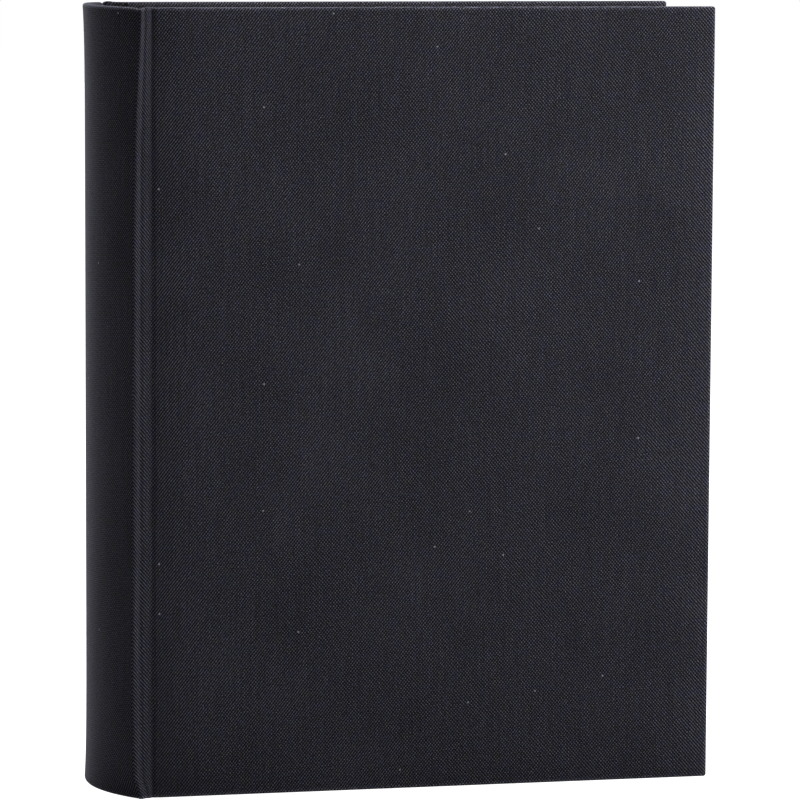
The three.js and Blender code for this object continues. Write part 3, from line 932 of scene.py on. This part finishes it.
# %% Groove cloth
GROOVE = [(SHOULDER_X, -SHOULDER_PROUD), (-10.6, -1.36), (-10.1, -1.43), (-9.6, -1.3), (-9.0, -0.92),
          (-8.5, -0.53), (-8.0, -0.17), (-7.6, 0.0), (-7.25, 0.02), (-6.8, -0.04), (-6.3, -0.07),
          (-5.8, -0.02), (-5.3, 0.09), (-4.8, 0.24), (-4.3, 0.41), (-3.8, 0.56), (-3.4, 0.67),
          (-3.0, 0.72), (-2.6, 0.69), (-2.1, 0.54), (-1.6, 0.34), (-1.1, 0.14), (-0.6, 0.03),
          (-0.25, 0.0), (0.0, 0.0)]  # X, and depth below the face of the board
FOLDED_CLOTH = 0.7  # two layers of cloth in the valley
GLUE = 0.1
RIDGE_RUN = 2.5  # the fold thickens to the spine's stack over this width,
BOARD_RUN = 5.0  # and to the board's over this one


def bend_at_hinge(piece, side, spine_x, cover_x):
    """Bakes a piece's placement into its mesh.

    The ends of the hinge on the spine and on the cover are worked out, the front one from its cover, but
    nothing uses them.
    """
    y = FRONT if side == "front" else -FRONT
    ends = [("spine_and_block", in_frame(spine_x, y, 0)), (f"{side}_cover", in_frame(cover_x, y, 0))]
    if side == "front":
        ends.reverse()
    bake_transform(piece)


def groove_cloth(side):
    points = [Vector((x, FRONT + depth)) for x, depth in GROOVE]
    line = smooth_line(points, 4)
    reach = running_length(line)
    stacks = []
    for d in reach:
        at_ridge = (SPINE_STACK - FOLDED_CLOTH) * max(0, 1 - d / RIDGE_RUN)
        near_board = max(0, 1 - (reach[-1] - d) / BOARD_RUN) ** 2
        at_board = (COVER_STACK - GLUE - FOLDED_CLOTH) * near_board
        stacks.append(FOLDED_CLOTH + at_ridge + at_board)
    return sweep(line, stacks, wrapped_wall(30, FOLDED_CLOTH / 2), -reach[-1],
                 head_lift=lambda point, height: head_line(point, height, side),
                 stray=front_stray if side == "front" else None)


for side in ("front", "back"):
    piece = piece_from(groove_cloth(side), f"{side}_groove_bookcloth", CLOTH_MATERIAL, side == "back")
    thicken(piece, CLOTH)
    bend_at_hinge(piece, side, -7.6, -0.35)
    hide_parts(f"{side}_joint_cloth")
    note(piece)

# %% [markdown]
# ## Leaves and glassine
# Each leaf and glassine sheet is its own thin solid with a small error of its own, because a stack of
# perfect copies reads as one striped block. The free part of a leaf starts at its scored line. An open
# album fans evenly, so each sheet gets a share of its section's angle, a little less than the one outside
# it; a sheet with the whole share rides on its section, and the others stay where they are.

# %% Sheets
SHEET_COLUMNS = 14
SHEET_ROWS = 18
WAVE = 0.16
SHARED_WAVE = (90, 40, 120)  # size of the waves that sheets share, on X, Y and Z
OWN_WAVE = (45, 60)  # size of a sheet's own waves, on X and Z
GLASSINE_ROOM = 0.12
draw = random.Random(7)


def wave_at(x, y, z):
    """How far a sheet bows out of its plane, from its hinge to the fore-edge."""
    free = max(0.0, (x - LEAF_HINGE_X) / (FORE_EDGE - LEAF_HINGE_X))
    middle = max(0.0, 1 - abs(y) / BLOCK_HALF)
    place = Vector((x / SHARED_WAVE[0], y / SHARED_WAVE[1], z / SHARED_WAVE[2]))
    return WAVE * free * (0.4 + middle) * noise.noise(place)


def sheet(x0, x1, y, z0, z1, thickness, flutter=0.0, seed=0.0, bend=None):
    """A thin upright sheet with its near face at y."""
    bm = bmesh.new()
    bmesh.ops.create_grid(bm, x_segments=SHEET_COLUMNS, y_segments=SHEET_ROWS, size=0.5)
    for vert in bm.verts:
        x = x0 + (x1 - x0) * (vert.co.x + 0.5)
        z = z0 + (z1 - z0) * (vert.co.y + 0.5)
        free = max(0.0, (x - x0) / (x1 - x0))
        own = flutter * free * noise.noise(Vector((x / OWN_WAVE[0] + seed, seed, z / OWN_WAVE[1])))
        bent = bend(x, z) if bend else wave_at(x, y, z)
        vert.co = (x, y + bent + own, z)
    return solid(bm, 1, thickness)


def leaf_place(i):
    """Near face of leaf number i."""
    return -BLOCK_HALF + i * PITCH + (PITCH - LEAF - GLASSINE_ROOM) / 2


print("first leaf at", round(leaf_place(0), 2), "mm")

# %% Turning sheets with their section
WHOLE_TURN = 0.999
fan_limits = {joint["child"]: joint["range_deg"][1] for joint in frame["joints"]}
LEAF_STEP = fan_limits["section_01"] / (SECTIONS // 2) / PER_SECTION


def turn_weights(section, i):
    """Shares of the section's angle for a leaf and its glassine."""
    forward = section < SECTIONS // 2
    behind = i if forward else PER_SECTION - 1 - i
    limit = fan_limits[f"section_{section + 1:02d}"]
    outer = (limit - behind * LEAF_STEP) / limit
    inner = (limit - (behind + 0.5) * LEAF_STEP) / limit
    return (outer, inner) if forward else (inner, outer)


def turn_with(piece, body, weight):
    """Rides a sheet on its section when its share is whole, and otherwise bakes its placement into its
    mesh.
    """
    if weight > WHOLE_TURN:
        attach(piece, body)
        return
    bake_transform(piece)


print(f"each leaf turns {LEAF_STEP:.1f} degrees less than the one outside it")

# %% Leaves and glassine sheets
LEAF_START = LEAF_HINGE_X - 0.25
GLASSINE_START = LEAF_HINGE_X + 0.3
LEAF_TO_GLASSINE = 0.14
LEAF_SHORT = 0.15  # a leaf's mean distance from the block's head and tail
LEAF_FLUTTER = 0.05
GLASSINE_FLUTTER = 0.10
MANY_SEEDS = 50

for index in range(LEAF_COUNT):
    section, i = divmod(index, PER_SECTION)
    body = f"section_{section + 1:02d}"
    leaf_weight, glassine_weight = turn_weights(section, i)
    leaf_y = leaf_place(index)
    trim = draw.uniform(-0.18, 0.0)
    lift = draw.uniform(-0.12, 0.12)
    bm = sheet(LEAF_START, FORE_EDGE + trim, leaf_y, LEAF_TAIL + LEAF_SHORT + lift,
               LEAF_HEAD - LEAF_SHORT + lift, LEAF, LEAF_FLUTTER, draw.uniform(0, MANY_SEEDS))
    leaf = piece_from(bm, f"leaf_{index + 1:02d}", LEAF_CARD)
    turn_with(leaf, body, leaf_weight)
    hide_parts(f"leaves_{section + 1:02d}")
    glassine_y = leaf_y + LEAF + LEAF_TO_GLASSINE
    bm = sheet(GLASSINE_START, FORE_EDGE - 1 - draw.uniform(0, 0.5), glassine_y, LEAF_TAIL + 1,
               LEAF_HEAD - 1, GLASSINE, GLASSINE_FLUTTER, draw.uniform(0, MANY_SEEDS))
    tissue = piece_from(bm, f"glassine_sheet_{index + 1:02d}", GLASSINE_PAPER)
    turn_with(tissue, body, glassine_weight)
    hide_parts(f"glassine_{section + 1:02d}")
print("leaves and glassine sheets", 2 * LEAF_COUNT)

# %% [markdown]
# ## Guards
# A leaf is bound in up to its score, and two narrow strips of card between leaves make room for the
# photographs; they are the leaf card drawn darker, as painted shade. No strip moves against another, so
# all of a kind share one mesh of plain boxes, whose ends follow the rounded back of the block.

# %% Guard block
GUARD_END = LEAF_HINGE_X - 1.05
FLYLEAF_STUB_END = FLYLEAF_HINGE_X - 0.95
FILLER = 0.33
FILLER_GAP = 0.06
FILLER_SHORT = 0.6
back_radius = (BLOCK_HALF ** 2 + BACK_BULGE ** 2) / (2 * BACK_BULGE)
back_centre = BACK_EDGE_X - BACK_BULGE + back_radius


def back_of_block(y):
    """X of the rounded back for a sheet at this Y."""
    return back_centre - math.sqrt(back_radius ** 2 - y ** 2)


def add_strip(bm, x0, x1, y, thickness, z0, z1):
    """Adds one box with its near face at y."""
    made = bmesh.ops.create_cube(bm, size=1)["verts"]
    bmesh.ops.scale(bm, vec=(x1 - x0, thickness, z1 - z0), verts=made)
    bmesh.ops.translate(bm, vec=((x0 + x1) / 2, y + thickness / 2, (z0 + z1) / 2), verts=made)


def bound_guards():
    """The bound-in strips of the leaves and flyleaves."""
    bm = bmesh.new()
    for i in range(LEAF_COUNT):
        y = leaf_place(i)
        lift = draw.uniform(-0.1, 0.1)
        back = back_of_block(y + LEAF / 2)
        add_strip(bm, back, GUARD_END, y, LEAF, LEAF_TAIL + LEAF_SHORT + lift,
                  LEAF_HEAD - LEAF_SHORT + lift)
    outer = -FRONT - FLYLEAF_DEPTH
    for y in (-outer, outer - FLYLEAF):
        add_strip(bm, BACK_EDGE_X, FLYLEAF_STUB_END, y, FLYLEAF, LEAF_TAIL, LEAF_HEAD)
    return bm


def bound_fillers():
    """Two narrow strips of card between leaves, drawn darker than the leaf card as painted shade."""
    bm = bmesh.new()
    for i in range(1, LEAF_COUNT):
        for layer in range(2):
            y = leaf_place(i) - (layer + 1) * (FILLER + FILLER_GAP)
            lift = draw.uniform(-0.15, 0.15)
            end = GUARD_END - draw.uniform(0.6, 1.1)
            add_strip(bm, back_of_block(y), end, y, FILLER, LEAF_TAIL + FILLER_SHORT + lift,
                      LEAF_HEAD - FILLER_SHORT + lift)
    return bm


for name, bm, material in (("bound_guards", bound_guards(), LEAF_CARD),
                           ("bound_fillers", bound_fillers(), SHADED_FILLER_CARD)):
    piece = piece_from(bm, name, material, sharp=30)
    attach(piece, "spine_and_block")
    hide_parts("guard_block")
    note(piece)

# %% [markdown]
# ## Endpapers
# Each endpaper is half glued to the board and half free. The glued half sinks into the window between
# the turn-ins, so the edge of the cloth shows through as a soft step. A bump map would vanish from the
# side, so the sheet is cut and moved there.

# %% Endpapers
PAPER = 0.15
ENDPAPER_Y = FRONT + COVER_STACK + GLUE
PASTEDOWN_X = 1.0
FLYLEAF_START = FLYLEAF_HINGE_X - 0.6
FLYLEAF_FLUTTER = 0.04
BOARD_STEP = 2.6  # where the pastedown starts to sink beside the hinge
SINK = 0.36  # thickness of the turned-in cloth
STEP_RUN = 1.6
X_CUTS = (BOARD_STEP - 0.8, BOARD_STEP, BOARD_STEP + 0.8,
          COVER_WIDTH - TURN_IN - 1.0, COVER_WIDTH - TURN_IN + 0.6)
Z_CUTS = (TURN_IN - 0.6, TURN_IN + 1.0, HEIGHT - TURN_IN - 1.0, HEIGHT - TURN_IN + 0.6)


def unbent(x, z):
    """A sheet that lies flat against its board."""
    return 0.0


def sunk_into_window(x, z):
    """How far the pastedown sinks towards the board, inside the turn-ins."""
    inside = min(x - BOARD_STEP, COVER_WIDTH - TURN_IN - x, z - TURN_IN, HEIGHT - TURN_IN - z)
    share = min(1.0, max(0.0, inside / STEP_RUN + 0.5))
    return -SINK * share * share * (3 - 2 * share)


def pastedown():
    bm = sheet(PASTEDOWN_X, FORE_EDGE, ENDPAPER_Y, LEAF_TAIL, LEAF_HEAD, PAPER, bend=unbent)
    for axis, cuts in ((0, X_CUTS), (2, Z_CUTS)):
        for place in cuts:
            cut_at(bm, axis, place)
    for vert in bm.verts:
        vert.co.y += sunk_into_window(vert.co.x, vert.co.z)
    return bm


for side in ("front", "back"):
    other = side == "back"
    paste = piece_from(pastedown(), f"{side}_pastedown_paper", ENDPAPER, other)
    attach(paste, f"{side}_cover")
    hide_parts(f"{side}_pastedown")
    joint = sheet(BACK_EDGE_X, PASTEDOWN_X, ENDPAPER_Y, LEAF_TAIL, LEAF_HEAD, PAPER, bend=unbent)
    strip = piece_from(joint, f"{side}_hinge_paper", ENDPAPER, other)
    bend_at_hinge(strip, side, -5.5, 0.6)
    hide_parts(f"{side}_joint_paper")
    free = sheet(FLYLEAF_START, FORE_EDGE, FRONT + FLYLEAF_DEPTH, LEAF_TAIL, LEAF_HEAD, FLYLEAF,
                 FLYLEAF_FLUTTER, 9.0, bend=unbent)
    fly = piece_from(free, f"{side}_flyleaf_paper", ENDPAPER, other)
    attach(fly, f"{side}_flyleaf")
    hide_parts(f"{side}_flyleaf")
print("endpapers", 6)

# %% [markdown]
# ## Head and tail bands
# A band is a cord wound in cotton, glued along the back edge of the block. Modelled thread would be lost
# on a bead of two millimetres, so a ring is spun along the back, and its radius rises and falls with
# each turn of the winding.

# %% Bands
BAND_RADIUS = 0.9
BAND_SIDES = 10
BAND_RIDGES = 62
RIDGE_STEPS = 4
RIDGE_DEPTH = 0.10  # as a share of the radius
BAND_OFF = 1.0  # from the leaves' end to the middle of the band


def band(height):
    bm = bmesh.new()
    angle = math.asin(BLOCK_HALF / back_radius)
    ring = bmesh.ops.create_circle(bm, segments=BAND_SIDES, radius=BAND_RADIUS, cap_ends=False)["verts"]
    bmesh.ops.transform(bm, matrix=Matrix.Rotation(math.pi / 2, 4, "X"), verts=ring)
    bmesh.ops.translate(bm, vec=(-(back_radius - BAND_RADIUS), 0, 0), verts=ring)
    bmesh.ops.rotate(bm, cent=(0, 0, 0), matrix=Matrix.Rotation(-angle, 3, "Z"), verts=ring)
    geometry = ring + list({edge for vert in ring for edge in vert.link_edges})
    bmesh.ops.spin(bm, geom=geometry, cent=(0, 0, 0), axis=(0, 0, 1), angle=2 * angle,
                   steps=BAND_RIDGES * RIDGE_STEPS, use_duplicate=False)
    for vert in bm.verts:
        turn = math.atan2(vert.co.y, -vert.co.x)
        share = (turn + angle) / (2 * angle)
        ridge = 1 - RIDGE_DEPTH * (1 + math.cos(2 * math.pi * BAND_RIDGES * share)) / 2
        middle = Vector((-math.cos(turn), math.sin(turn), 0)) * (back_radius - BAND_RADIUS)
        vert.co = middle + (vert.co - middle) * ridge
    bmesh.ops.holes_fill(bm, edges=bm.edges)
    bmesh.ops.recalc_face_normals(bm, faces=bm.faces)
    bmesh.ops.translate(bm, vec=(back_centre, 0, height), verts=bm.verts)
    return bm


for name, height in (("tail_band", LEAF_TAIL - BAND_OFF), ("head_band", LEAF_HEAD + BAND_OFF)):
    piece = piece_from(band(height), f"{name}_bead", BAND_COTTON)
    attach(piece, "spine_and_block")
    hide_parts(name)
    note(piece)

# %% [markdown]
# ## Finishes for the pieces kept from the model
# Boards, linings and sewing have their right shape already and are mostly hidden. New meshes would add
# nothing, so they only get their finish.

# %% Kept pieces
KEPT_FINISHES = {
    "front_board": GREYBOARD, "back_board": GREYBOARD,
    "mull_lining": MULL, "spine_lining": KRAFT, "sewing_thread": THREAD_LINEN,
}
for node_name, material in KEPT_FINISHES.items():
    frame["nodes"][node_name].data.materials.clear()
    frame["nodes"][node_name].data.materials.append(material)
print("kept", sorted(KEPT_FINISHES))
